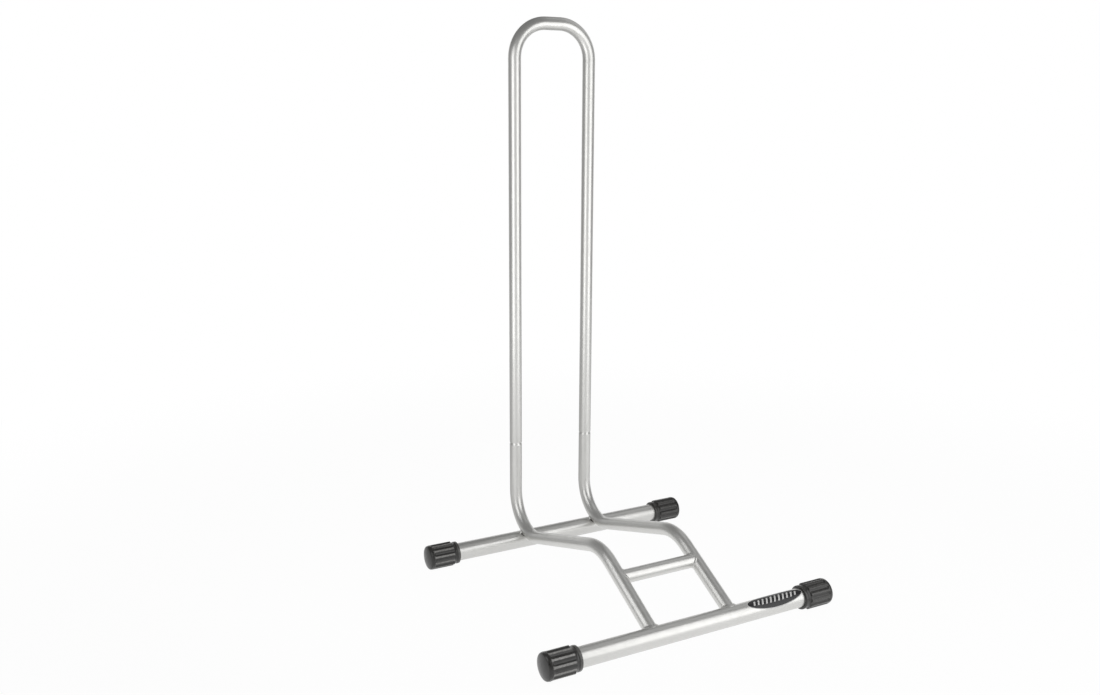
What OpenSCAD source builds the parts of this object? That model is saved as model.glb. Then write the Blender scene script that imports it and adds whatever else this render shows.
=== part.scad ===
// Free-standing floor stand for one bicycle wheel.
// The wheel drops between two bent side rails and leans against a tall hoop.
// X runs along the foot tubes, +Y points to the hoop side, Z is up, the floor is z = 0.
// The origin is on the floor, under the middle of the whole stand.

/* [Overall] */
// Length of each foot from cap end to cap end
foot_length = 382; // [360:1:500]
// Distance between the front and rear foot tubes, centre to centre
foot_spacing = 308; // [290:1:360]
// Height of the hoop's top above the floor
stand_height = 681; // [450:1:900]
// Distance between the two rails, centre to centre
rail_spacing = 105; // [95:1:130]

/* [Tubes] */
// Outer diameter of the hoop, rail and crossbar tube
rail_d = 15.9; // [14:0.1:18]
// Outer diameter of the two foot tubes
foot_d = 22.2; // [20:0.1:26]
// Wall thickness of every tube
tube_wall = 1.2; // [1:0.1:1.6]

/* [Hoop] */
// Centreline radius of the hoop's two top bends
hoop_bend_r = 42; // [30:1:47]
// Height of the line where the hoop sits on the rails
joint_z = 142.8; // [120:0.1:180]
// Length of the narrowed rail end inside each hoop leg
spigot_length = 45; // [25:1:60]
// Radial clearance between a spigot and the hoop's bore
spigot_gap = 0.05; // [0.02:0.01:0.1]
// Height of the sloping shoulder below the joint line
shoulder_h = 3.4; // [1:0.1:5]

/* [Rails] */
// Distance of the uprights behind the rear foot tube, centre to centre
upright_setback = 22.5; // [22:0.5:26]
// Height of the corner where the upright's and the run's centrelines would meet
rear_corner_z = 11.8; // [10.8:0.1:13.8]
// Centreline radius of the bend under the upright
rear_bend_r = 48.5; // [47:0.5:50]
// Distance of the peak's corner in front of the uprights
peak_forward = 216.5; // [200:0.5:225]
// Height of the peak's corner
peak_z = 77.3; // [70:0.1:85]
// Centreline radius of the bend at the peak
peak_bend_r = 58; // [40:1:70]
// Distance of the crossbar behind the front foot tube, centre to centre
crossbar_setback = 72.5; // [60:0.5:80]
// Distance of the crossbar's centreline below the rails' centrelines
crossbar_drop = 0.4; // [0.2:0.1:1]

/* [End caps] */
// Wall thickness of the body between the ribs
cap_wall = 2.6; // [2.3:0.1:3]
// Height of the ribs above the body
rib_height = 1.5; // [1:0.1:2]
// Wall thickness of the collar at the mouth
collar_wall = 2.7; // [2.4:0.1:3]
// Wall thickness of the neck between the collar and the ribs
neck_wall = 2.3; // [1.6:0.1:2.5]
// Length of the ribbed body with its closed end
cap_body_length = 34.5; // [28:0.5:42]
// Length of the collar
collar_length = 4; // [2:0.5:8]
// Length of the neck
neck_length = 3.5; // [1:0.5:6]
// Thickness of the closed end at its middle
cap_end_wall = 4; // [3:0.5:6]
// Number of ribs, a multiple of four so that one lies flat on the floor
rib_count = 12; // [8:4:16]
// Width of a rib
rib_width = 3.8; // [2.8:0.1:4.4]
// Roundness of a rib's two edges
rib_edge_r = 1; // [0.2:0.1:1.2]
// Length of the smooth band between the ribs and the rounded edge
end_band_length = 1; // [0.5:0.1:3]
// Depth of that band below the ribs' crests
end_band_drop = 0.2; // [0.1:0.1:1]
// Roundness of the closed end's edge
cap_edge_r = 2.8; // [1:0.1:3]
// Radius of the domed end face
face_r = 45; // [35:1:80]
// Clearance between a cap's bore and its tube
cap_gap = 0.1; // [0.05:0.05:0.3]

/* [Label] */
// Length of the oval label
label_length = 79; // [40:1:80]
// Width of the oval, measured straight across
label_width = 18.8; // [10:0.2:19]
// Gap between the label and the cap beside it
label_gap = 0.5; // [0.5:0.5:4]
// Angle of the label's middle above the horizontal
label_tilt = 67; // [0:1:90]
// Thickness of the label
label_thickness = 0.2; // [0.1:0.05:0.4]
// Thickness of the glue layer under the label
glue_thickness = 0.05; // [0.05:0.05:0.1]

/* [Welds] */
// Reach of a weld bead along each of the tubes it joins
bead = 2.4; // [1.5:0.1:3]

/* [Hidden] */
$fn = 96;

rail_r = rail_d / 2;
rail_bore_r = rail_r - tube_wall;
spigot_r = rail_bore_r - spigot_gap;
foot_r = foot_d / 2;
foot_bore_r = foot_r - tube_wall;
cap_bore_r = foot_r + cap_gap;
collar_r = cap_bore_r + collar_wall;
neck_r = cap_bore_r + neck_wall;
cap_core_r = cap_bore_r + cap_wall;
cap_r = cap_core_r + rib_height;
end_band_r = cap_r - end_band_drop;
face_rim_r = end_band_r - cap_edge_r;
rail_x = rail_spacing / 2;

// Places along Y, with the whole stand centred on the origin
stand_depth = cap_r + foot_spacing + upright_setback + rail_r;
front_foot_y = cap_r - stand_depth / 2;
rear_foot_y = front_foot_y + foot_spacing;
upright_y = rear_foot_y + upright_setback;
foot_z = cap_r;

// The rail's centreline seen from the side, as [y, z] points, and its turns and straights
run_slope = atan2(peak_z - rear_corner_z, peak_forward);
rear_corner = [upright_y, rear_corner_z];
peak = [upright_y - peak_forward, peak_z];
ramp_end = [front_foot_y, foot_z];
ramp_slope = atan2(peak[1] - ramp_end[1], peak[0] - ramp_end[0]);
rear_turn = 90 + run_slope;
peak_turn = run_slope + ramp_slope;
rear_tangent = rear_bend_r * tan(rear_turn / 2);
peak_tangent = peak_bend_r * tan(peak_turn / 2);
shoulder_z = joint_z - shoulder_h;
upright_length = shoulder_z - rear_corner_z - rear_tangent;
run_length = norm(peak - rear_corner) - rear_tangent - peak_tangent;
ramp_length = norm(peak - ramp_end) - peak_tangent;
crossbar_y = front_foot_y + crossbar_setback;
crossbar_z = foot_z + crossbar_setback * tan(ramp_slope) - crossbar_drop;

hoop_top_z = stand_height - rail_r;
leg_length = hoop_top_z - hoop_bend_r - joint_z;
hoop_flat = rail_spacing - 2 * hoop_bend_r;

mouth_length = collar_length + neck_length;
cap_length = cap_body_length + mouth_length;
cap_edge_z = cap_body_length - face_r + sqrt((face_r - cap_edge_r) ^ 2 - face_rim_r ^ 2);
foot_tube_length = foot_length - 2 * cap_end_wall;
label_x = foot_length / 2 - cap_length - label_gap - label_length / 2;
rib_step = 360 / rib_count;
spigot_lead = 1;
shoulder_lip = 0.5;
edge_steps = 6;
label_points = 72;
spare = 1;
lap = 0.3;
bend_thinning = 0.01;

// Straight stretch of round bar along +Z, reaching a little into the bends at its ends
module straight(length, radius, before = lap, after = lap) {
    translate([0, 0, -before])
        cylinder(h = before + length + after, r = radius);
    translate([0, 0, length])
        children();
}

// Bend of round bar that leaves +Z towards -Y, or towards +Y when way is -1
module bend(bend_r, turn, way, radius) {
    translate([0, -way * bend_r, 0])
        rotate([90, 0, way * 90])
            rotate_extrude(angle = turn)
                translate([bend_r, 0])
                    circle(r = radius - bend_thinning);
    translate([0, -way * bend_r, 0])
        rotate([way * turn, 0, 0])
            translate([0, way * bend_r, 0])
                children();
}

// The bent part of a rail as a bar of any radius, from its shoulder down and round to the front foot
module rail_bar(side, radius) {
    translate([side * rail_x, upright_y, shoulder_z])
        rotate([0, 180, 0])
            straight(upright_length, radius, before = 0)
                bend(rear_bend_r, rear_turn, 1, radius)
                    straight(run_length, radius)
                        bend(peak_bend_r, peak_turn, -1, radius)
                            straight(ramp_length, radius);
}

// The swaged top of a rail: a sloping shoulder and a hollow spigot with a lead-in
module spigot(side) {
    translate([side * rail_x, upright_y, joint_z])
        rotate_extrude()
            polygon([
                [rail_bore_r, -shoulder_h],
                [rail_r, -shoulder_h],
                [spigot_r + shoulder_lip, 0],
                [spigot_r, 0],
                [spigot_r, spigot_length - spigot_lead],
                [spigot_r - spigot_lead / 2, spigot_length],
                [spigot_r - tube_wall, spigot_length],
                [spigot_r - tube_wall, 0]
            ]);
}

// A bar of any radius along one foot
module foot_bar(y, radius, length) {
    translate([-length / 2, y, foot_z])
        rotate([0, 90, 0])
            cylinder(h = length, r = radius);
}

// The crossbar as a bar of any radius, from one rail's centreline to the other's
module crossbar_bar(radius) {
    translate([-rail_x, crossbar_y, crossbar_z])
        rotate([0, 90, 0])
            cylinder(h = rail_spacing, r = radius);
}

// One rail: a bent tube, cut to fit over both foot tubes
module rail(side) {
    color("silver")
        difference() {
            union() {
                rail_bar(side, rail_r);
                spigot(side);
            }
            rail_bar(side, rail_bore_r);
            foot_bar(front_foot_y, foot_r, foot_tube_length);
            foot_bar(rear_foot_y, foot_r, foot_tube_length);
        }
}

// The hoop as a bar of any radius, up one leg, across the top and down the other
module hoop_bar(radius) {
    translate([-rail_x, upright_y, joint_z])
        rotate([0, 0, 90])
            straight(leg_length, radius, before = 0)
                bend(hoop_bend_r, 90, 1, radius)
                    straight(hoop_flat, radius)
                        bend(hoop_bend_r, 90, 1, radius)
                            straight(leg_length, radius, after = 0);
}

module upper_hoop() {
    color("silver")
        difference() {
            hoop_bar(rail_r);
            hoop_bar(rail_bore_r);
        }
}

module left_rail() {
    rail(-1);
}

module right_rail() {
    rail(1);
}

module crossbar() {
    color("silver")
        difference() {
            crossbar_bar(rail_r);
            crossbar_bar(rail_bore_r);
            rail_bar(-1, rail_r);
            rail_bar(1, rail_r);
        }
}

module foot_tube(y) {
    color("silver")
        difference() {
            foot_bar(y, foot_r, foot_tube_length);
            foot_bar(y, foot_bore_r, foot_tube_length + 2 * spare);
        }
}

module front_foot_tube() {
    foot_tube(front_foot_y);
}

module rear_foot_tube() {
    foot_tube(rear_foot_y);
}

// Half profile of a cap's closed body, as [radius, height] with the closed end at the top
module cap_profile() {
    face_lean = asin(face_rim_r / (face_r - cap_edge_r));
    polygon([
        [0, 0],
        [cap_core_r, 0],
        [cap_core_r, cap_edge_z - end_band_length],
        [end_band_r, cap_edge_z - end_band_length],
        for (i = [0 : edge_steps])
            let (a = (90 - face_lean) * i / edge_steps)
                [face_rim_r + cap_edge_r * cos(a), cap_edge_z + cap_edge_r * sin(a)],
        for (i = [edge_steps - 1 : -1 : 0])
            let (a = 90 - face_lean * i / edge_steps)
                [face_r * cos(a), cap_body_length - face_r + face_r * sin(a)]
    ]);
}

// Section of one rib, from the cap's axis outwards, with a flat crest and rounded edges
module rib_profile() {
    flat_half = rib_width / 2 - rib_edge_r;
    translate([0, -rib_width / 2])
        square([cap_r - rib_edge_r, rib_width]);
    translate([0, -flat_half])
        square([cap_r, 2 * flat_half]);
    for (side = [-1, 1])
        translate([cap_r - rib_edge_r, side * flat_half])
            circle(r = rib_edge_r);
}

// One cap standing on its mouth
module end_cap_upright() {
    difference() {
        union() {
            cylinder(h = collar_length, r = collar_r);
            cylinder(h = mouth_length + spare, r = neck_r);
            translate([0, 0, mouth_length]) {
                rotate_extrude()
                    cap_profile();
                for (i = [0 : rib_count - 1])
                    rotate([0, 0, i * rib_step])
                        linear_extrude(height = cap_edge_z - end_band_length + lap)
                            rib_profile();
            }
        }
        translate([0, 0, -spare])
            cylinder(h = cap_length - cap_end_wall + spare, r = cap_bore_r);
    }
}

// A cap pushed over one end of a foot tube
module end_cap(side, y) {
    color("#2c2c2c")
        translate([side * (foot_length / 2 - cap_length), y, foot_z])
            rotate([0, side * 90, 0])
                end_cap_upright();
}

module front_left_end_cap() {
    end_cap(-1, front_foot_y);
}

module front_right_end_cap() {
    end_cap(1, front_foot_y);
}

module rear_left_end_cap() {
    end_cap(-1, rear_foot_y);
}

module rear_right_end_cap() {
    end_cap(1, rear_foot_y);
}

// Bead where a rail meets a foot tube: what lies close to both and inside neither
module foot_weld(side, y) {
    color("silver")
        difference() {
            intersection() {
                rail_bar(side, rail_r + bead);
                foot_bar(y, foot_r + bead, foot_tube_length);
            }
            rail_bar(side, rail_r);
            foot_bar(y, foot_r, foot_tube_length);
        }
}

module front_left_weld() {
    foot_weld(-1, front_foot_y);
}

module front_right_weld() {
    foot_weld(1, front_foot_y);
}

module rear_left_weld() {
    foot_weld(-1, rear_foot_y);
}

module rear_right_weld() {
    foot_weld(1, rear_foot_y);
}

// Bead where the crossbar meets a rail: what lies close to both and inside neither
module crossbar_weld(side) {
    color("silver")
        difference() {
            intersection() {
                rail_bar(side, rail_r + bead);
                crossbar_bar(rail_r + bead);
            }
            rail_bar(side, rail_r);
            crossbar_bar(rail_r);
        }
}

module crossbar_left_weld() {
    crossbar_weld(-1);
}

module crossbar_right_weld() {
    crossbar_weld(1);
}

// Outline of the label before it is laid on the tube
module label_outline() {
    polygon([
        for (i = [0 : label_points - 1])
            let (a = 360 * i / label_points)
                [label_length / 2 * cos(a), label_width / 2 * sin(a)]
    ]);
}

// Thin curved label on the front foot tube, facing forward and up
module oval_label() {
    color("#222222")
        intersection() {
            difference() {
                foot_bar(front_foot_y, foot_r + glue_thickness + label_thickness, foot_length);
                foot_bar(front_foot_y, foot_r + glue_thickness, foot_length + 2 * spare);
            }
            translate([label_x, front_foot_y, foot_z])
                rotate([90 - label_tilt, 0, 0])
                    linear_extrude(height = foot_d)
                        label_outline();
        }
}

upper_hoop();
left_rail();
right_rail();
crossbar();
front_foot_tube();
rear_foot_tube();
front_left_end_cap();
front_right_end_cap();
rear_left_end_cap();
rear_right_end_cap();
front_left_weld();
front_right_weld();
rear_left_weld();
rear_right_weld();
crossbar_left_weld();
crossbar_right_weld();
oval_label();
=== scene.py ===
import math

import bmesh
import bpy
from mathutils import Matrix, Vector


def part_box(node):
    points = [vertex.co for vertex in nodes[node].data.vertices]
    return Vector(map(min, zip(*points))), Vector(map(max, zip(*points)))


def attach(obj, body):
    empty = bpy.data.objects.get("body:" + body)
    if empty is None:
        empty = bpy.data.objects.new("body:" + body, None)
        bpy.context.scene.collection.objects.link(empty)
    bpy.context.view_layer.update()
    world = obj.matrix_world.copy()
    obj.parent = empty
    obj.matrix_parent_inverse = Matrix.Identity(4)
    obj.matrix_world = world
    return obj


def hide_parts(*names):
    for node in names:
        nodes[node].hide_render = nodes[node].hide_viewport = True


# Floor stand for one bicycle wheel: silver tube, ribbed rubber caps, weld beads, oval label.
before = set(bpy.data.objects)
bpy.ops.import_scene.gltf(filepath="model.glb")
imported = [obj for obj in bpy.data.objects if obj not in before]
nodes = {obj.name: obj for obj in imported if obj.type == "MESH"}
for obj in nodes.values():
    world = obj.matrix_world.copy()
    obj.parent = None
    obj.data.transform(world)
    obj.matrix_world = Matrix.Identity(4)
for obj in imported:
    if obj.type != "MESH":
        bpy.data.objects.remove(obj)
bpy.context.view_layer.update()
scene = bpy.context.scene
scene.view_settings.view_transform = "Standard"
print("frame:", len(nodes), "nodes")

mm = 0.001


def nodeMiddle(name):
    low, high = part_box(name)
    return (low + high) / 2


def nodeSize(name):
    low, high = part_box(name)
    return high - low


# Camera at the photograph's viewing angle
cameraSetup = {
    "place": (-0.65594, -1.02800, 0.56505),
    "yaw": 28.659,
    "tiltDown": 12.428,
    "roll": 0.224,
    "focalPixels": 1062.68,
    "imageWidth": 1100,
    "sensor": 36.0,
    "clip": (0.01, 100.0),
}


def makeCamera(setup):
    yaw, tilt, roll = (math.radians(setup[k]) for k in ("yaw", "tiltDown", "roll"))
    forward = Vector((
        math.sin(yaw) * math.cos(tilt),
        math.cos(yaw) * math.cos(tilt),
        -math.sin(tilt),
    ))
    level = Vector((math.cos(yaw), -math.sin(yaw), 0))
    upright = level.cross(forward)
    right = level * math.cos(roll) + upright * math.sin(roll)
    up = upright * math.cos(roll) - level * math.sin(roll)
    data = bpy.data.cameras.new("photoCamera")
    data.sensor_width = setup["sensor"]
    data.lens = setup["focalPixels"] / setup["imageWidth"] * setup["sensor"]
    data.clip_start, data.clip_end = setup["clip"]
    camera = bpy.data.objects.new("photoCamera", data)
    scene.collection.objects.link(camera)
    turn = Matrix((right, up, -forward)).transposed()
    camera.matrix_world = Matrix.Translation(setup["place"]) @ turn.to_4x4()
    scene.camera = camera


makeCamera(cameraSetup)
print("camera ready")


# Small helpers for node trees
def addNode(tree, kind, x, y, **settings):
    node = tree.nodes.new(kind)
    node.location = (x, y)
    for key, value in settings.items():
        setattr(node, key, value)
    return node


def setInputs(node, **values):
    for key, value in values.items():
        node.inputs[key.replace("_", " ")].default_value = value


def rangeNode(tree, x, y, start, end, low=0.0, high=1.0, **settings):
    node = addNode(tree, "ShaderNodeMapRange", x, y, clamp=True, **settings)
    setInputs(node, From_Min=start, From_Max=end, To_Min=low, To_Max=high)
    return node


def mathNode(tree, x, y, operation, first, second, **settings):
    node = addNode(tree, "ShaderNodeMath", x, y, operation=operation, **settings)
    tree.links.new(first, node.inputs[0])
    tree.links.new(second, node.inputs[1])
    return node.outputs[0]


# Each side of the mix is a fixed colour, or the output that brings it
def mixColors(tree, x, y, mask, under, over):
    node = addNode(tree, "ShaderNodeMix", x, y, data_type="RGBA")
    tree.links.new(mask, node.inputs[0])
    for socket, value in ((node.inputs[6], under), (node.inputs[7], over)):
        if isinstance(value, tuple):
            socket.default_value = value
        else:
            tree.links.new(value, socket)
    return node.outputs[2]


def addBump(tree, x, y, height, strength, distance, normal=None):
    node = addNode(tree, "ShaderNodeBump", x, y)
    setInputs(node, Strength=strength, Distance=distance)
    tree.links.new(height, node.inputs["Height"])
    if normal is not None:
        tree.links.new(normal, node.inputs["Normal"])
    return node.outputs["Normal"]


def newGroup(name, inputs, outputName):
    tree = bpy.data.node_groups.new(name, "ShaderNodeTree")
    for label, kind, start in inputs:
        socket = tree.interface.new_socket(name=label, in_out="INPUT", socket_type=kind)
        if start is not None:
            socket.default_value = start
    tree.interface.new_socket(name=outputName, in_out="OUTPUT", socket_type="NodeSocketFloat")
    start = addNode(tree, "NodeGroupInput", -900, 0)
    end = addNode(tree, "NodeGroupOutput", 900, 0)
    return tree, start, end


# Every shared group takes a place on the piece and gives one value
def placeGroup(tree, group, x, y, place, values):
    node = addNode(tree, "ShaderNodeGroup", x, y)
    node.node_tree = group
    setInputs(node, **values)
    tree.links.new(place, node.inputs["Vector"])
    return node.outputs[0]


def newMaterial(name):
    material = bpy.data.materials.new(name)
    material.use_nodes = True
    tree = material.node_tree
    tree.nodes.clear()
    output = addNode(tree, "ShaderNodeOutputMaterial", 900, 0)
    shader = addNode(tree, "ShaderNodeBsdfPrincipled", 600, 0)
    place = addNode(tree, "ShaderNodeTexCoord", -900, 0)
    tree.links.new(shader.outputs["BSDF"], output.inputs["Surface"])
    return material, tree, shader, place.outputs["Object"]


def joinShader(tree, shader, color, roughness, normal):
    tree.links.new(color, shader.inputs["Base Color"])
    tree.links.new(roughness, shader.inputs["Roughness"])
    tree.links.new(normal, shader.inputs["Normal"])


# Parts of the noise that the shared groups use
groupValues = {
    "grainBand": (0.3, 0.7),
    "scuffBand": (0.6, 0.72),
    "scuffPatchBand": (0.5, 0.68),
    "scuffPatchScale": 38.0,
    "dustSlopes": (0.2, 0.95),
    "dustBand": (0.42, 0.66),
}


# Even grain: noise spread between two values, for roughness, colour and bump height
def makeGrainGroup(v):
    tree, start, end = newGroup(
        "surfaceGrain",
        [
            ("Vector", "NodeSocketVector", None),
            ("Scale", "NodeSocketFloat", 500.0),
            ("Detail", "NodeSocketFloat", 2.0),
            ("Low", "NodeSocketFloat", 0.0),
            ("High", "NodeSocketFloat", 1.0),
        ],
        "Value",
    )
    noise = addNode(tree, "ShaderNodeTexNoise", -500, 0)
    spread = rangeNode(tree, 0, 0, *v["grainBand"])
    links = tree.links
    for socket in ("Vector", "Scale", "Detail"):
        links.new(start.outputs[socket], noise.inputs[socket])
    links.new(noise.outputs["Fac"], spread.inputs["Value"])
    links.new(start.outputs["Low"], spread.inputs["To Min"])
    links.new(start.outputs["High"], spread.inputs["To Max"])
    links.new(spread.outputs["Result"], end.inputs["Value"])
    return tree


# Fine scuffs: thin broken lines drawn out along one direction
def makeScuffGroup(v):
    tree, start, end = newGroup(
        "fineScuffs",
        [
            ("Vector", "NodeSocketVector", None),
            ("Stretch", "NodeSocketVector", (1.0, 1.0, 1.0)),
            ("Scale", "NodeSocketFloat", 900.0),
            ("Amount", "NodeSocketFloat", 0.2),
        ],
        "Mask",
    )
    stretch = addNode(tree, "ShaderNodeVectorMath", -600, 200, operation="MULTIPLY")
    lines = addNode(tree, "ShaderNodeTexNoise", -400, 200)
    setInputs(lines, Detail=4.0, Roughness=0.65)
    patches = addNode(tree, "ShaderNodeTexNoise", -400, -200)
    setInputs(patches, Scale=v["scuffPatchScale"], Detail=3.0)
    pickLines = rangeNode(tree, -100, 200, *v["scuffBand"])
    pickPatches = rangeNode(tree, -100, -200, *v["scuffPatchBand"])
    links = tree.links
    links.new(start.outputs["Vector"], stretch.inputs[0])
    links.new(start.outputs["Stretch"], stretch.inputs[1])
    links.new(stretch.outputs[0], lines.inputs["Vector"])
    links.new(start.outputs["Scale"], lines.inputs["Scale"])
    links.new(start.outputs["Vector"], patches.inputs["Vector"])
    links.new(lines.outputs["Fac"], pickLines.inputs["Value"])
    links.new(patches.outputs["Fac"], pickPatches.inputs["Value"])
    both = mathNode(
        tree, 200, 0, "MULTIPLY", pickLines.outputs["Result"], pickPatches.outputs["Result"],
    )
    scaled = mathNode(tree, 450, 0, "MULTIPLY", both, start.outputs["Amount"])
    links.new(scaled, end.inputs["Mask"])
    return tree


# Dust that settles on faces that look up
def makeDustGroup(v):
    tree, start, end = newGroup(
        "settledDust",
        [
            ("Vector", "NodeSocketVector", None),
            ("Scale", "NodeSocketFloat", 120.0),
            ("Amount", "NodeSocketFloat", 0.1),
        ],
        "Mask",
    )
    shape = addNode(tree, "ShaderNodeNewGeometry", -600, 200)
    parts = addNode(tree, "ShaderNodeSeparateXYZ", -400, 200)
    facing = rangeNode(tree, -200, 200, *v["dustSlopes"])
    specks = addNode(tree, "ShaderNodeTexNoise", -400, -200)
    setInputs(specks, Detail=6.0, Roughness=0.7)
    pick = rangeNode(tree, -200, -200, *v["dustBand"])
    links = tree.links
    links.new(shape.outputs["Normal"], parts.inputs[0])
    links.new(parts.outputs["Z"], facing.inputs["Value"])
    links.new(start.outputs["Vector"], specks.inputs["Vector"])
    links.new(start.outputs["Scale"], specks.inputs["Scale"])
    links.new(specks.outputs["Fac"], pick.inputs["Value"])
    both = mathNode(tree, 100, 0, "MULTIPLY", facing.outputs["Result"], pick.outputs["Result"])
    scaled = mathNode(tree, 350, 0, "MULTIPLY", both, start.outputs["Amount"])
    links.new(scaled, end.inputs["Mask"])
    return tree


grainGroup = makeGrainGroup(groupValues)
scuffGroup = makeScuffGroup(groupValues)
dustGroup = makeDustGroup(groupValues)

# Satin silver coat on the tubes and the welds
silverValues = {
    "light": (0.73, 0.728, 0.71, 1),
    "deep": (0.64, 0.638, 0.62, 1),
    "scuffed": (0.78, 0.778, 0.762, 1),
    "dust": (0.7, 0.69, 0.66, 1),
    "metallic": 0.9,
    "coat": 0.1,
    "coatRoughness": 0.2,
    "flakes": {"Scale": 3600.0, "Detail": 1.0},
    "clouds": {"Scale": 24.0, "Detail": 4.0, "Low": -0.12, "High": 0.12},
    "peel": {"Scale": 620.0, "Detail": 1.5},
    "roughness": {"Scale": 90.0, "Detail": 5.0, "Low": 0.32, "High": 0.39},
    "scuffs": {"Stretch": (1.0, 1.0, 0.08), "Scale": 700.0, "Amount": 0.3},
    "dusting": {"Scale": 150.0, "Amount": 0.07},
    "relief": 0.6,
    "peelHeight": 0.006 * mm,
    "flakeHeight": 0.0025 * mm,
}


def makeSilverCoat(v):
    material, tree, shader, place = newMaterial("silverCoat")
    setInputs(shader, Metallic=v["metallic"])
    setInputs(shader, Coat_Weight=v["coat"], Coat_Roughness=v["coatRoughness"])
    flakes = placeGroup(tree, grainGroup, -500, 500, place, v["flakes"])
    clouds = placeGroup(tree, grainGroup, -500, 300, place, v["clouds"])
    peel = placeGroup(tree, grainGroup, -500, 0, place, v["peel"])
    rough = placeGroup(tree, grainGroup, -500, -200, place, v["roughness"])
    scuffs = placeGroup(tree, scuffGroup, -500, -400, place, v["scuffs"])
    dust = placeGroup(tree, dustGroup, -500, -600, place, v["dusting"])
    tone = mathNode(tree, -250, 400, "ADD", flakes, clouds, use_clamp=True)
    base = mixColors(tree, -50, 350, tone, v["deep"], v["light"])
    wearAndCrestHighlight = mixColors(tree, 150, 300, scuffs, base, v["scuffed"])
    dusty = mixColors(tree, 350, 250, dust, wearAndCrestHighlight, v["dust"])
    duller = mathNode(tree, -200, -250, "ADD", rough, dust, use_clamp=True)
    peelBump = addBump(tree, 150, -100, peel, v["relief"], v["peelHeight"])
    flakeBump = addBump(tree, 350, -150, flakes, v["relief"], v["flakeHeight"], peelBump)
    joinShader(tree, shader, dusty, duller, flakeBump)
    return material


# Painted shade: a dark mottled material on the root of a weld, deep in a crevice, on faces that
# take it in place of the silver coat
creviceShadeValues = {
    "deep": (0.035, 0.033, 0.031, 1),
    "light": (0.1, 0.096, 0.09, 1),
    "shadeMottle": {"Scale": 1100.0, "Detail": 5.0},
    "roughness": {"Scale": 500.0, "Detail": 3.0, "Low": 0.6, "High": 0.8},
    "relief": 0.5,
    "mottleHeight": 0.08 * mm,
}


def makeCreviceShade(v):
    material, tree, shader, place = newMaterial("paintedCreviceShade")
    setInputs(shader, Metallic=0.0)
    shadeMottle = placeGroup(tree, grainGroup, -500, 200, place, v["shadeMottle"])
    rough = placeGroup(tree, grainGroup, -500, -100, place, v["roughness"])
    base = mixColors(tree, -50, 300, shadeMottle, v["deep"], v["light"])
    bump = addBump(tree, 250, -200, shadeMottle, v["relief"], v["mottleHeight"])
    joinShader(tree, shader, base, rough, bump)
    return material


# Matt black moulded rubber of the end caps
rubberValues = {
    "deep": (0.0095, 0.0088, 0.0078, 1),
    "light": (0.02, 0.0186, 0.0166, 1),
    "rubbed": (0.085, 0.084, 0.082, 1),
    # The next colour is a painted highlight, laid on the rib crests and the collar in place of the
    # lamps' reflection
    "wearAndCrestHighlight": (0.42, 0.414, 0.4, 1),
    "dust": (0.2, 0.195, 0.185, 1),
    "specular": 0.5,
    "coat": 0.3,
    "coatRoughness": 0.18,
    "mottle": {"Scale": 160.0, "Detail": 4.0},
    "pores": {"Scale": 2600.0, "Detail": 2.0},
    "mould": {"Scale": 520.0, "Detail": 3.0},
    "roughness": {"Scale": 240.0, "Detail": 4.0, "Low": 0.27, "High": 0.37},
    "scuffs": {"Stretch": (0.15, 1.0, 1.0), "Scale": 620.0, "Amount": 0.5},
    "dusting": {"Scale": 240.0, "Amount": 0.1},
    "highlightBreakup": {"Scale": 420.0, "Detail": 5.0, "Low": 0.5, "High": 1.0},
    "relief": 0.5,
    "mouldHeight": 0.06 * mm,
    "poreHeight": 0.025 * mm,
}


def makeRubber(v):
    material, tree, shader, place = newMaterial("capRubber")
    setInputs(shader, Metallic=0.0, Specular_IOR_Level=v["specular"])
    setInputs(shader, Coat_Weight=v["coat"], Coat_Roughness=v["coatRoughness"])
    mottle = placeGroup(tree, grainGroup, -500, 400, place, v["mottle"])
    pores = placeGroup(tree, grainGroup, -500, 200, place, v["pores"])
    mould = placeGroup(tree, grainGroup, -500, 0, place, v["mould"])
    rough = placeGroup(tree, grainGroup, -500, -200, place, v["roughness"])
    scuffs = placeGroup(tree, scuffGroup, -500, -400, place, v["scuffs"])
    dust = placeGroup(tree, dustGroup, -500, -600, place, v["dusting"])
    # Painted highlight: a pale colour on the crests and the collar, read from a mesh attribute and
    # broken up by grain
    crest = addNode(tree, "ShaderNodeAttribute", -500, -800, attribute_name="paintedCrestHighlight")
    broken = placeGroup(tree, grainGroup, -500, -1000, place, v["highlightBreakup"])
    crestHighlightMask = mathNode(tree, -200, -850, "MULTIPLY", crest.outputs["Fac"], broken)
    base = mixColors(tree, -50, 350, mottle, v["deep"], v["light"])
    rubbed = mixColors(tree, 150, 300, scuffs, base, v["rubbed"])
    crestHighlighted = mixColors(tree, 250, 400, crestHighlightMask, rubbed, v["wearAndCrestHighlight"])
    dusty = mixColors(tree, 400, 250, dust, crestHighlighted, v["dust"])
    mouldBump = addBump(tree, 150, -100, mould, v["relief"], v["mouldHeight"])
    poreBump = addBump(tree, 350, -150, pores, v["relief"], v["poreHeight"], mouldBump)
    joinShader(tree, shader, dusty, rough, poreBump)
    return material


# Printed film of the label: one finish for the dark field, one for its pale parts
filmValues = {
    "specular": 0.35,
    "coat": 0.15,
    "coatRoughness": 0.12,
    "inkGrain": {"Scale": 1500.0, "Detail": 3.0},
    "scuffs": {"Stretch": (0.2, 1.0, 1.0), "Scale": 900.0, "Amount": 0.35},
    "relief": 0.4,
    "inkHeight": 0.01 * mm,
    "finishes": {
        "labelDark": {
            "deep": (0.014, 0.014, 0.016, 1),
            "light": (0.024, 0.024, 0.026, 1),
            "roughness": {"Scale": 300.0, "Detail": 4.0, "Low": 0.22, "High": 0.32},
        },
        "labelPale": {
            "deep": (0.62, 0.62, 0.61, 1),
            "light": (0.72, 0.72, 0.71, 1),
            "roughness": {"Scale": 300.0, "Detail": 4.0, "Low": 0.3, "High": 0.4},
        },
    },
}


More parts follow.
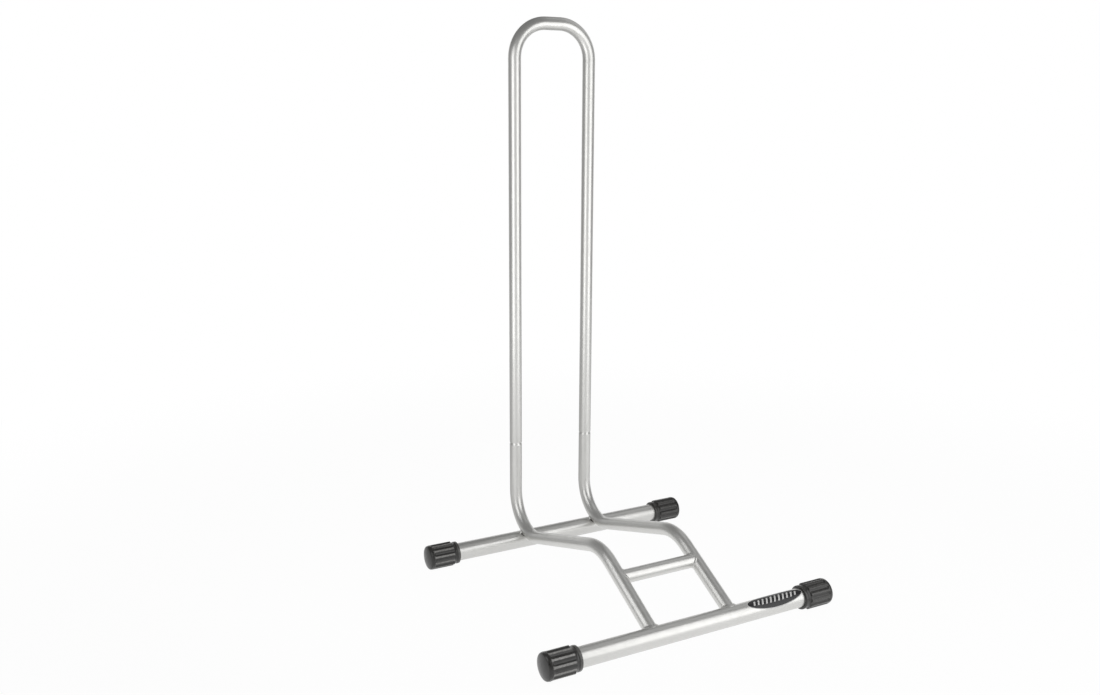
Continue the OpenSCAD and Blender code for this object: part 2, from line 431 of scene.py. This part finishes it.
def makeFilm(name, v):
    finish = v["finishes"][name]
    material, tree, shader, place = newMaterial(name)
    setInputs(shader, Metallic=0.0, Specular_IOR_Level=v["specular"])
    setInputs(shader, Coat_Weight=v["coat"], Coat_Roughness=v["coatRoughness"])
    inkGrain = placeGroup(tree, grainGroup, -500, 300, place, v["inkGrain"])
    rough = placeGroup(tree, grainGroup, -500, 0, place, finish["roughness"])
    scuffs = placeGroup(tree, scuffGroup, -500, -300, place, v["scuffs"])
    base = mixColors(tree, -50, 300, inkGrain, finish["deep"], finish["light"])
    duller = mathNode(tree, -50, 0, "ADD", rough, scuffs, use_clamp=True)
    bump = addBump(tree, 250, -200, inkGrain, v["relief"], v["inkHeight"])
    joinShader(tree, shader, base, duller, bump)
    return material


silverCoat = makeSilverCoat(silverValues)
paintedCreviceShade = makeCreviceShade(creviceShadeValues)
capRubber = makeRubber(rubberValues)
labelDark = makeFilm("labelDark", filmValues)
labelPale = makeFilm("labelPale", filmValues)
print("materials ready")


# Small helpers for meshes
def meshPiece(name, bm, material, body):
    bmesh.ops.recalc_face_normals(bm, faces=bm.faces)
    mesh = bpy.data.meshes.new(name)
    for face in bm.faces:
        face.smooth = True
    bm.to_mesh(mesh)
    bm.free()
    mesh.materials.append(material)
    piece = bpy.data.objects.new(name, mesh)
    scene.collection.objects.link(piece)
    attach(piece, body)
    return piece


def smoothStep(low, high, value):
    t = min(max((value - low) / (high - low), 0), 1)
    return t * t * (3 - 2 * t)


# The bent and straight tubes keep their solids and take the silver coat
tubeNodes = [
    "upper_hoop", "left_rail", "right_rail",
    "crossbar", "front_foot_tube", "rear_foot_tube",
]
for name in tubeNodes:
    coats = nodes[name].data.materials
    coats.clear()
    coats.append(silverCoat)
print("tubes coated")

# End caps: a spun shell with rounded grooves sunk between its ribs
capValues = {
    "length": 42.0 * mm,
    "boreRadius": 11.18 * mm,
    "endWall": 4.0 * mm,
    "lipRadius": 13.9 * mm,
    "lipLength": 4.0 * mm,
    "lipEdge": 0.8 * mm,
    "mouthEdge": 0.4 * mm,
    "neckRadius": 13.45 * mm,
    "neckEdge": 0.25 * mm,
    "ribFoot": 0.05 * mm,
    "ribStart": 7.5 * mm,
    "ribEnd": 36.4 * mm,
    "ribEdge": 0.7 * mm,
    "ribSettle": 1.2 * mm,
    "crestRadius": 15.28 * mm,
    "valleyRadius": 13.8 * mm,
    "bandRadius": 15.1 * mm,
    "bandStep": 0.35 * mm,
    "edgeRadius": 2.8 * mm,
    "faceRadius": 45.0 * mm,
    "ribCount": 12,
    "stepsPerRib": 16,
    "stepsAlong": 46,
    "grooveReach": 3.35 * mm,
    "grooveFloor": 0.5 * mm,
    "grooveMargins": (1.0 * mm, 0.1 * mm),
    "mergeDistance": 0.01 * mm,
    "crestBelow": (0.25 * mm, 0.05 * mm),
    "crestShare": (0.1, 0.24),
    "crestFade": 2.0 * mm,
    "lipBelow": (0.4 * mm, 0.1 * mm),
    "lipFade": 1.0 * mm,
    "collarHighlight": 0.3,
}


# Points along an arc in even steps, with the angles in degrees
def arcPoints(middle, radius, fromAngle, toAngle, count):
    points = []
    for i in range(count + 1):
        angle = math.radians(fromAngle + (toAngle - fromAngle) * i / count)
        points.append((middle[0] + radius * math.cos(angle), middle[1] + radius * math.sin(angle)))
    return points


# Half section as radius and distance from the mouth: bore, collar, neck, ribs, domed end
def capOutline(v):
    inner, neck, crest = v["boreRadius"], v["neckRadius"], v["crestRadius"]
    mouthEdge, lipEdge, ribEdge = v["mouthEdge"], v["lipEdge"], v["ribEdge"]
    lipRim = v["lipRadius"] - lipEdge
    ribStart, ribEnd = v["ribStart"], v["ribEnd"]
    rim = v["bandRadius"] - v["edgeRadius"]
    domeReach = v["faceRadius"] - v["edgeRadius"]
    lean = math.degrees(math.asin(rim / domeReach))
    faceMiddle = v["length"] - v["faceRadius"]
    rimHeight = faceMiddle + math.sqrt(domeReach ** 2 - rim ** 2)
    points = [(0, v["length"] - v["endWall"]), (inner, v["length"] - v["endWall"])]
    points += arcPoints((inner + mouthEdge, mouthEdge), mouthEdge, 180, 270, 3)
    points += arcPoints((lipRim, lipEdge), lipEdge, 270, 360, 5)
    points += arcPoints((lipRim, v["lipLength"] - lipEdge), lipEdge, 0, 70, 4)
    points += [(neck, v["lipLength"] + mouthEdge), (neck, ribStart - v["neckEdge"])]
    points += [(neck + v["neckEdge"], ribStart - v["ribFoot"])]
    points += arcPoints((crest - ribEdge, ribStart + ribEdge), ribEdge, 270, 360, 4)
    first = ribStart + v["ribSettle"]
    for i in range(v["stepsAlong"]):
        points.append((crest, first + (ribEnd - first) * i / v["stepsAlong"]))
    points += [(crest, ribEnd), (v["bandRadius"], ribEnd + v["bandStep"])]
    points += arcPoints((rim, rimHeight), v["edgeRadius"], 0, 90 - lean, 8)
    points += arcPoints((0, faceMiddle), v["faceRadius"], 90 - lean, 90, 6)[1:]
    return points


# Depth of a groove at a place on the body: a long slot with a round end near the closed end
def grooveDepth(v, angle, along):
    pitch = 2 * math.pi / v["ribCount"]
    across = ((angle / pitch) % 1 - 0.5) * pitch * v["crestRadius"]
    beyond = max(along - (v["ribEnd"] - v["grooveReach"]), 0)
    sunk = smoothStep(v["grooveReach"], v["grooveFloor"], math.hypot(across, beyond))
    return (v["crestRadius"] - v["valleyRadius"]) * sunk


# Painted highlight of a place on the skin: full on the crests' middles, less on the collar
def highlightShare(v, fromCrest, radius, along):
    low, high = (v["crestRadius"] - below for below in v["crestBelow"])
    crest = smoothStep(low, high, radius) * (1 - smoothStep(*v["crestShare"], fromCrest))
    crest *= smoothStep(v["ribStart"], v["ribStart"] + v["crestFade"], along)
    crest *= 1 - smoothStep(v["ribEnd"] - v["crestFade"], v["ribEnd"], along)
    low, high = (v["lipRadius"] - below for below in v["lipBelow"])
    collar = smoothStep(low, high, radius)
    collar *= 1 - smoothStep(v["lipLength"] - v["lipFade"], v["lipLength"], along)
    return max(crest, v["collarHighlight"] * collar)


def makeCap(name, side, crestTurn, crestHighlightStrength, v):
    low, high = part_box(name)
    middle = (low + high) / 2
    bm = bmesh.new()
    outline = [bm.verts.new((radius, 0, along)) for radius, along in capOutline(v)]
    edges = [bm.edges.new(pair) for pair in zip(outline, outline[1:])]
    bmesh.ops.spin(
        bm, geom=outline + edges, cent=(0, 0, 0), axis=(0, 0, 1), dvec=(0, 0, 0),
        angle=2 * math.pi, steps=v["ribCount"] * v["stepsPerRib"],
        use_merge=True, use_duplicate=False,
    )
    bmesh.ops.remove_doubles(bm, verts=bm.verts, dist=v["mergeDistance"])
    grooveFirst = v["ribStart"] - v["grooveMargins"][0]
    grooveLast = v["ribEnd"] + v["grooveMargins"][1]
    for vert in bm.verts:
        radius = math.hypot(vert.co.x, vert.co.y)
        if radius <= v["valleyRadius"] or not grooveFirst < vert.co.z < grooveLast:
            continue
        depth = grooveDepth(v, math.atan2(vert.co.y, vert.co.x) - crestTurn, vert.co.z)
        target = max(radius - depth, v["valleyRadius"])
        vert.co.x *= target / radius
        vert.co.y *= target / radius
    # The painted crest highlight is kept as an attribute for the rubber
    highlightLayer = bm.verts.layers.float.new("paintedCrestHighlight")
    pitch = 2 * math.pi / v["ribCount"]
    for vert in bm.verts:
        turned = (math.atan2(vert.co.y, vert.co.x) - crestTurn) / pitch
        fromCrest = abs((turned + 0.5) % 1 - 0.5)
        radius = math.hypot(vert.co.x, vert.co.y)
        vert[highlightLayer] = crestHighlightStrength * highlightShare(v, fromCrest, radius, vert.co.z)
    # The cap's own +Z becomes the outward direction of its foot tube
    mouth = Vector((low.x if side > 0 else high.x, middle.y, middle.z))
    turn = Matrix.Rotation(math.radians(90 * side), 4, "Y")
    bmesh.ops.transform(bm, matrix=Matrix.Translation(mouth) @ turn, verts=bm.verts)
    piece = meshPiece(
        name.replace("end_cap", "ribbed_cap"), bm, capRubber, "base_frame",
    )
    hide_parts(name)


# Per cap: its side, degrees that a crest stands up from the tube's front, strength of the painted
# highlight on its crests (strong on the left caps, faint on the right)
capTurns = {
    "front_left_end_cap": (-1, 18, 1.0),
    "front_right_end_cap": (1, 0, 0.12),
    "rear_left_end_cap": (-1, 18, 0.7),
    "rear_right_end_cap": (1, 5, 0.15),
}
for name, (side, crest, crestHighlightStrength) in capTurns.items():
    makeCap(name, side, math.radians(-90 - side * crest), crestHighlightStrength, capValues)
print("end caps made")


# Weld beads: a rippled fillet ring round each place where two tubes meet
beadValues = {
    "footLeg": 2.2 * mm,
    "crossbarLeg": 1.25 * mm,
    "bulge": 0.12 * mm,
    "sink": 0.25 * mm,
    "rootSink": 0.75 * mm,
    "rippleLength": 1.6 * mm,
    "rippleHeight": 0.07 * mm,
    "rippleRise": 0.8,
    "ringSteps": 192,
    "sectionSteps": 8,
}
tubeValues = {
    "railRadius": nodeSize("crossbar").z / 2,
    "footRadius": nodeSize("front_foot_tube").z / 2,
    "railX": nodeMiddle("right_rail").x,
}


# A rising ramp with a quick fall, like overlapping weld scales
def ripple(v, arcPlace):
    share = (arcPlace / v["rippleLength"]) % 1
    rise = v["rippleRise"]
    return share if share < rise else (1 - share) * rise / (1 - rise)


# A point's place, rounded so that it can be looked up
def placeKey(co):
    return tuple(round(c, 9) for c in co)


# Each section holds the points of one slice across the bead, from one tube's skin to the other's
def ringMesh(sections):
    bm = bmesh.new()
    count = len(sections)
    made = bmesh.ops.create_circle(bm, cap_ends=False, radius=1, segments=count)
    for vert, section in zip(made["verts"], sections):
        vert.co = section[0]
    edges = list(bm.edges)
    for step in range(1, len(sections[0])):
        made = bmesh.ops.extrude_edge_only(bm, edges=edges)
        newVerts = [g for g in made["geom"] if isinstance(g, bmesh.types.BMVert)]
        nextPlace = {placeKey(section[step - 1]): section[step] for section in sections}
        for vert in newVerts:
            vert.co = nextPlace[placeKey(vert.co)]
        edges = [g for g in made["geom"] if isinstance(g, bmesh.types.BMEdge)]
    firstEdges = [e for e in bm.edges if e.is_boundary and e not in set(edges)]
    bmesh.ops.bridge_loops(bm, edges=firstEdges + edges)
    return bm


# Slice across a fillet: a bulging curve between the two skins, and a root sunk into the corner
def filletSection(v, legLength, corner, alongA, alongB, middle, arcPlace):
    scale = ripple(v, arcPlace)
    leg = legLength + v["rippleHeight"] * scale
    a = corner + alongA * leg
    b = corner + alongB * leg
    chord = (a + b) / 2
    top = chord + middle * (v["bulge"] + v["rippleHeight"] * scale)
    points = [a - middle * v["sink"]]
    for i in range(v["sectionSteps"] + 1):
        t = i / v["sectionSteps"]
        points.append(a * (1 - t) ** 2 + (top * 2 - chord) * 2 * t * (1 - t) + b * t ** 2)
    points.append(b - middle * v["sink"])
    points.append(corner - middle * v["rootSink"])
    return points


# Bead where a tube's end, the stub, meets the side of another tube, the host
def junctionBead(name, legLength, stub, host, v):
    stubPlace, stubWay, stubRadius = stub
    hostPlace, hostWay, hostRadius = host
    sideA = hostWay.cross(stubWay).normalized()
    sideB = stubWay.cross(sideA)
    corners = []
    for i in range(v["ringSteps"]):
        angle = 2 * math.pi * i / v["ringSteps"] + math.pi / 2
        outward = sideA * math.cos(angle) + sideB * math.sin(angle)
        start = stubPlace + outward * stubRadius - hostPlace
        flatStart = start - hostWay * start.dot(hostWay)
        flatWay = stubWay - hostWay * stubWay.dot(hostWay)
        a = flatWay.dot(flatWay)
        b = 2 * flatStart.dot(flatWay)
        c = flatStart.dot(flatStart) - hostRadius ** 2
        root = math.sqrt(max(b * b - 4 * a * c, 0))
        along = (-b + root) / (2 * a)
        corner = hostPlace + start + stubWay * along
        flat = corner - hostPlace
        hostNormal = (flat - hostWay * flat.dot(hostWay)).normalized()
        corners.append((corner, outward, hostNormal))
    sections = []
    arcPlace = 0
    hostGuide = corners[0][1]
    for i, (corner, outward, hostNormal) in enumerate(corners):
        arcPlace += (corner - corners[i - 1][0]).length
        tangent = (corners[(i + 1) % len(corners)][0] - corners[i - 1][0]).normalized()
        alongStub = tangent.cross(outward).normalized()
        alongHost = tangent.cross(hostNormal).normalized()
        if alongStub.dot(stubWay) < 0:
            alongStub = -alongStub
        # The host's side keeps its sense from slice to slice, also where the two skins run flush
        if alongHost.dot(hostGuide) < 0:
            alongHost = -alongHost
        hostGuide = alongHost
        middle = (outward + hostNormal).normalized()
        sections.append(
            filletSection(v, legLength, corner, alongStub, alongHost, middle, arcPlace)
        )
    piece = meshPiece(name + "_bead", ringMesh(sections), silverCoat, "base_frame")
    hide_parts(name)


# Bead behind a rail's bend on the rear foot tube: full at the back, only a root in the front groove
crossingValues = {
    "across": 5.2 * mm,
    "along": 5.9 * mm,
    "beadRadius": 1.8 * mm,
    "endBlob": 1.1 * mm,
    "rootRadius": 1.6 * mm,
    "rootInset": 0.9,
    "rootBand": (-0.42, -0.1),
    "blobPlace": 0.02,
    "blobSpread": 0.2,
    "shadeFrom": -0.26,
    "press": 0.24 * mm,
    "sectionSteps": 16,
    "bendRadius": 48.5 * mm,
    "cornerHeight": 11.8 * mm,
    "runSlope": 16.833,
}


def crossingBead(name, contact, normal, outerBend, v, c):
    across = Vector((1, 0, 0))
    along = normal.cross(across)
    if along.y < 0:
        along = -along
    ring = []
    for i in range(v["ringSteps"]):
        angle = 2 * math.pi * i / v["ringSteps"]
        back = smoothStep(*c["rootBand"], math.sin(angle))
        reach = c["rootInset"] + (1 - c["rootInset"]) * back
        blob = math.exp(-((math.sin(angle) - c["blobPlace"]) / c["blobSpread"]) ** 2)
        x = c["across"] * reach * math.cos(angle)
        u = c["along"] * reach * math.sin(angle)
        railSide = x * x / (2 * tubeValues["railRadius"]) + u * u / (2 * outerBend)
        footSide = u * u / (2 * tubeValues["footRadius"])
        middle = contact + across * x + along * u + normal * (railSide - footSide) / 2
        outward = (across * math.cos(angle) + along * math.sin(angle)).normalized()
        thickness = c["rootRadius"] + (c["beadRadius"] - c["rootRadius"]) * back
        thickness += c["endBlob"] * blob
        ring.append((middle, outward, thickness, back))
    sections = []
    arcPlace = 0
    for i, (middle, outward, thickness, back) in enumerate(ring):
        arcPlace += (middle - ring[i - 1][0]).length
        radius = thickness + v["rippleHeight"] * ripple(v, arcPlace) * back
        section = []
        for k in range(c["sectionSteps"]):
            turn = 2 * math.pi * k / c["sectionSteps"]
            offset = (outward * math.cos(turn) + normal * math.sin(turn)) * radius
            section.append(middle + offset)
        sections.append(section)
    bm = ringMesh(sections)
    for face in bm.faces:
        place = face.calc_center_median() - contact
        # Faces in the front groove take the dark painted shade material, the rest keep the silver
        # coat
        face.material_index = 1 if place.dot(along) < c["shadeFrom"] * c["along"] else 0
    piece = meshPiece(name + "_bead", bm, silverCoat, "base_frame")
    piece.data.materials.append(paintedCreviceShade)
    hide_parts(name)


# The rails' front run: its slope, and how far the crossbar's axis lies below the rails'
railValues = {
    "rampSlope": 28.54,
    "crossbarDrop": 0.4 * mm,
}
frontFoot = nodeMiddle("front_foot_tube")
rearFoot = nodeMiddle("rear_foot_tube")
crossbarMiddle = nodeMiddle("crossbar")
uprightY = nodeMiddle("upper_hoop").y
railRadius, footRadius = tubeValues["railRadius"], tubeValues["footRadius"]
rampSlope = math.radians(railValues["rampSlope"])
rampWay = Vector((0, math.cos(rampSlope), math.sin(rampSlope))).normalized()
alongX = Vector((1, 0, 0))
runSlope = math.radians(crossingValues["runSlope"])
bendRadius = crossingValues["bendRadius"]
bendHeight = bendRadius * (1 + math.sin(runSlope)) / math.cos(runSlope)
bendMiddle = Vector((0, uprightY - bendRadius, crossingValues["cornerHeight"] + bendHeight))
towardsFoot = (Vector((0, rearFoot.y, rearFoot.z)) - bendMiddle).normalized()
outerBend = bendRadius + railRadius
for side, word in ((-1, "left"), (1, "right")):
    railX = side * tubeValues["railX"]
    foot = Vector((railX, frontFoot.y, frontFoot.z))
    junctionBead(
        f"front_{word}_weld", beadValues["footLeg"],
        (foot, rampWay, railRadius), (foot, alongX, footRadius), beadValues,
    )
    barEnd = Vector((railX, crossbarMiddle.y, crossbarMiddle.z))
    railPlace = barEnd + Vector((0, 0, railValues["crossbarDrop"]))
    junctionBead(
        f"crossbar_{word}_weld", beadValues["crossbarLeg"],
        (barEnd, alongX * -side, railRadius), (railPlace, rampWay, railRadius), beadValues,
    )
    contact = bendMiddle + towardsFoot * (outerBend - crossingValues["press"])
    contact.x = railX
    crossingBead(
        f"rear_{word}_weld", contact, -towardsFoot, outerBend, beadValues, crossingValues,
    )
print("weld beads made")


# Oval label wrapped round the front foot tube: pale film, dark film on it, a row of pale bars
labelValues = {
    "length": 79.0 * mm,
    "width": 18.8 * mm,
    "border": 0.75 * mm,
    "tilt": 67.0,
    "paleLift": 0.07 * mm,
    "darkLift": 0.13 * mm,
    "barLift": 0.17 * mm,
    "rimSteps": 144,
    "rings": 14,
    "ringReach": 0.97,
    "sharpAngle": 40.0,
    "bars": 11,
    "barPitch": 5.9 * mm,
    "barWidth": 2.4 * mm,
    "barShare": 0.46,
    "barLean": 0.6,
}
labelLow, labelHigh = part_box("oval_label")
labelMiddleX = (labelLow.x + labelHigh.x) / 2


# Flat film in x and y, bent round the foot tube's axis at a height above its skin
def wrapOnTube(bm, lift, v):
    radius = tubeValues["footRadius"] + lift
    for vert in bm.verts:
        angle = math.radians(v["tilt"]) + math.asin(vert.co.y / radius)
        height = radius + vert.co.z
        vert.co = Vector((
            labelMiddleX + vert.co.x,
            frontFoot.y - height * math.cos(angle),
            frontFoot.z + height * math.sin(angle),
        ))


# The flat shape becomes a closed film of its own thickness, and is then laid on the tube
def finishFilm(name, bm, lift, depth, material, v):
    made = bmesh.ops.extrude_face_region(bm, geom=bm.faces[:], use_keep_orig=True)
    under = [part for part in made["geom"] if isinstance(part, bmesh.types.BMVert)]
    bmesh.ops.translate(bm, vec=(0, 0, -depth), verts=under)
    wrapOnTube(bm, lift, v)
    piece = meshPiece(name, bm, material, "base_frame")
    piece.data.set_sharp_from_angle(angle=math.radians(v["sharpAngle"]))
    return piece


def middleFace(bm):
    return max(bm.faces, key=lambda face: len(face.verts))


# An oval of narrow rings, so that it bends evenly
def makeOval(length, width, v):
    bm = bmesh.new()
    bmesh.ops.create_circle(bm, cap_ends=True, radius=1, segments=v["rimSteps"])
    for i in range(v["rings"]):
        bmesh.ops.inset_individual(
            bm, faces=[middleFace(bm)], thickness=v["ringReach"] / v["rings"],
            use_even_offset=False,
        )
    bmesh.ops.poke(bm, faces=[middleFace(bm)])
    bmesh.ops.scale(bm, vec=(length / 2, width / 2, 1), verts=bm.verts)
    return bm


# A row of slanted bars, each as tall as the oval leaves room for
def makeBars(v):
    bm = bmesh.new()
    innerLength = v["length"] / 2 - v["border"]
    innerWidth = v["width"] / 2 - v["border"]
    for i in range(v["bars"]):
        x = (i - (v["bars"] - 1) / 2) * v["barPitch"]
        tall = 2 * innerWidth * v["barShare"] * math.sqrt(max(1 - (x / innerLength) ** 2, 0))
        made = bmesh.ops.create_grid(bm, x_segments=2, y_segments=8, size=0.5)
        for vert in made["verts"]:
            vert.co.x = vert.co.x * v["barWidth"] + vert.co.y * tall * v["barLean"]
            vert.co.y *= tall
        bmesh.ops.translate(bm, vec=(x, 0, 0), verts=made["verts"])
    return bm


def makeLabel(v):
    pale, dark, bar = v["paleLift"], v["darkLift"], v["barLift"]
    outer = makeOval(v["length"], v["width"], v)
    inner = makeOval(v["length"] - 2 * v["border"], v["width"] - 2 * v["border"], v)
    border = finishFilm("label_border", outer, pale, pale, labelPale, v)
    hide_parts("oval_label")
    finishFilm("label_field", inner, dark, dark - pale, labelDark, v)
    finishFilm("label_bars", makeBars(v), bar, bar - dark, labelPale, v)


makeLabel(labelValues)
print("label made")

# Studio: a pale table that fades to white, softboxes at both sides and overhead, a pale room
studioValues = {
    "tableHalf": 1.35,
    "tableColor": (0.9, 0.9, 0.9, 1),
    "tableGlow": 0.97,
    "fadeBand": (0.55, 1.3),
    "mirroredFront": 1.0,
    "mirroredBack": 0.55,
    "mirroredBand": (0.02, 0.4),
    "softboxes": {
        "rightBox": {
            "place": (0.34, -0.56, 0.425), "aim": (0.15, 0.0, 0.235),
            "size": (0.62, 0.83), "power": 2.4,
        },
        "leftBox": {
            "place": (-0.46, -0.08, 0.47), "aim": (0.0, 0.08, 0.47),
            "size": (0.32, 0.66), "power": 0.98,
        },
        "overheadBox": {
            "place": (0.58, 0.25, 0.9), "aim": (0.5, 0.2, 0.0),
            "size": (0.5, 0.9), "power": 0.5,
        },
    },
    "roomColor": (1, 1, 1, 1),
    "backWay": (0.48, 0.877, 0.0),
    "backBand": (0.5, 0.88),
    "frontBand": (-0.75, -0.97),
    "ceilingBand": (0.2, 0.5),
    "frontLevel": 0.72,
    "sideLevel": 0.36,
    "backLevel": 0.97,
    "ceilingLevel": 0.22,
}


def smoothRange(tree, x, y, band, low=0.0, high=1.0):
    return rangeNode(tree, x, y, *band, low, high, interpolation_type="SMOOTHSTEP")


# The camera and mirror rays see the glow, which is dimmer at the back where the tubes mirror it
def makeTable(v):
    bm = bmesh.new()
    bmesh.ops.create_grid(bm, x_segments=2, y_segments=2, size=v["tableHalf"])
    mesh = bpy.data.meshes.new("table")
    bm.to_mesh(mesh)
    bm.free()
    table = bpy.data.objects.new("table", mesh)
    scene.collection.objects.link(table)
    material = bpy.data.materials.new("tableWhite")
    material.use_nodes = True
    tree = material.node_tree
    tree.nodes.clear()
    links = tree.links
    output = addNode(tree, "ShaderNodeOutputMaterial", 900, 0)
    card = addNode(tree, "ShaderNodeBsdfDiffuse", 400, -150)
    setInputs(card, Color=v["tableColor"])
    glow = addNode(tree, "ShaderNodeEmission", 400, 150)
    ray = addNode(tree, "ShaderNodeLightPath", -400, 400)
    place = addNode(tree, "ShaderNodeTexCoord", -400, 100)
    parts = addNode(tree, "ShaderNodeSeparateXYZ", -200, -100)
    dimmer = smoothRange(
        tree, 0, -100, v["mirroredBand"], v["mirroredFront"], v["mirroredBack"],
    )
    strength = addNode(tree, "ShaderNodeMix", 200, 0, data_type="FLOAT")
    strength.inputs[2].default_value = 1.0
    away = addNode(tree, "ShaderNodeVectorMath", -200, 100, operation="LENGTH")
    fade = smoothRange(tree, 0, 100, v["fadeBand"], v["tableGlow"], 1.0)
    mix = addNode(tree, "ShaderNodeMixShader", 650, 0)
    seen = mathNode(
        tree, -200, 400, "MAXIMUM", ray.outputs["Is Camera Ray"], ray.outputs["Is Glossy Ray"],
    )
    seenToo = mathNode(tree, 0, 400, "MAXIMUM", seen, ray.outputs["Is Transmission Ray"])
    share = mathNode(tree, 200, 300, "MULTIPLY", seenToo, fade.outputs["Result"])
    links.new(place.outputs["Object"], parts.inputs[0])
    links.new(parts.outputs["Y"], dimmer.inputs["Value"])
    links.new(ray.outputs["Is Glossy Ray"], strength.inputs[0])
    links.new(dimmer.outputs["Result"], strength.inputs[3])
    links.new(strength.outputs[0], glow.inputs["Strength"])
    links.new(place.outputs["Object"], away.inputs[0])
    links.new(away.outputs["Value"], fade.inputs["Value"])
    links.new(share, mix.inputs["Fac"])
    links.new(card.outputs[0], mix.inputs[1])
    links.new(glow.outputs[0], mix.inputs[2])
    links.new(mix.outputs[0], output.inputs["Surface"])
    mesh.materials.append(material)


def makeSoftbox(name, box):
    lamp = bpy.data.lights.new(name, "AREA")
    lamp.shape = "RECTANGLE"
    lamp.size, lamp.size_y = box["size"]
    lamp.energy = box["power"]
    holder = bpy.data.objects.new(name, lamp)
    scene.collection.objects.link(holder)
    place = Vector(box["place"])
    behind = place - Vector(box["aim"])
    turn = behind.to_track_quat("Z", "Y").to_matrix().to_4x4()
    holder.matrix_world = Matrix.Translation(place) @ turn
    holder.visible_camera = False


# The camera sees plain white, and the part is lit by a room brighter at its back and front
def makeWorld(v):
    world = bpy.data.worlds.new("studio")
    scene.world = world
    world.use_nodes = True
    tree = world.node_tree
    tree.nodes.clear()
    links = tree.links
    output = addNode(tree, "ShaderNodeOutputWorld", 1100, 0)
    ray = addNode(tree, "ShaderNodeLightPath", 600, 350)
    white = addNode(tree, "ShaderNodeBackground", 600, 100)
    setInputs(white, Color=v["roomColor"], Strength=1.0)
    room = addNode(tree, "ShaderNodeBackground", 600, -150)
    setInputs(room, Color=v["roomColor"])
    mix = addNode(tree, "ShaderNodeMixShader", 850, 0)
    way = addNode(tree, "ShaderNodeTexCoord", -800, 0)
    parts = addNode(tree, "ShaderNodeSeparateXYZ", -600, -200)
    towardsBack = addNode(tree, "ShaderNodeVectorMath", -600, 100, operation="DOT_PRODUCT")
    towardsBack.inputs[1].default_value = v["backWay"]
    back = smoothRange(tree, -400, 100, v["backBand"], v["sideLevel"], v["backLevel"])
    front = smoothRange(tree, -400, 350, v["frontBand"], 0.0, v["frontLevel"] - v["sideLevel"])
    above = smoothRange(tree, -400, -200, v["ceilingBand"])
    around = mathNode(tree, -200, 200, "ADD", back.outputs["Result"], front.outputs["Result"])
    level = addNode(tree, "ShaderNodeMix", 200, 0, data_type="FLOAT")
    level.inputs[3].default_value = v["ceilingLevel"]
    links.new(way.outputs["Generated"], towardsBack.inputs[0])
    links.new(way.outputs["Generated"], parts.inputs[0])
    links.new(towardsBack.outputs["Value"], back.inputs["Value"])
    links.new(towardsBack.outputs["Value"], front.inputs["Value"])
    links.new(parts.outputs["Z"], above.inputs["Value"])
    links.new(above.outputs["Result"], level.inputs[0])
    links.new(around, level.inputs[2])
    links.new(level.outputs[0], room.inputs["Strength"])
    links.new(ray.outputs["Is Camera Ray"], mix.inputs["Fac"])
    links.new(room.outputs[0], mix.inputs[1])
    links.new(white.outputs[0], mix.inputs[2])
    links.new(mix.outputs[0], output.inputs["Surface"])


makeTable(studioValues)
for name, box in studioValues["softboxes"].items():
    makeSoftbox(name, box)
makeWorld(studioValues)
print("studio ready")
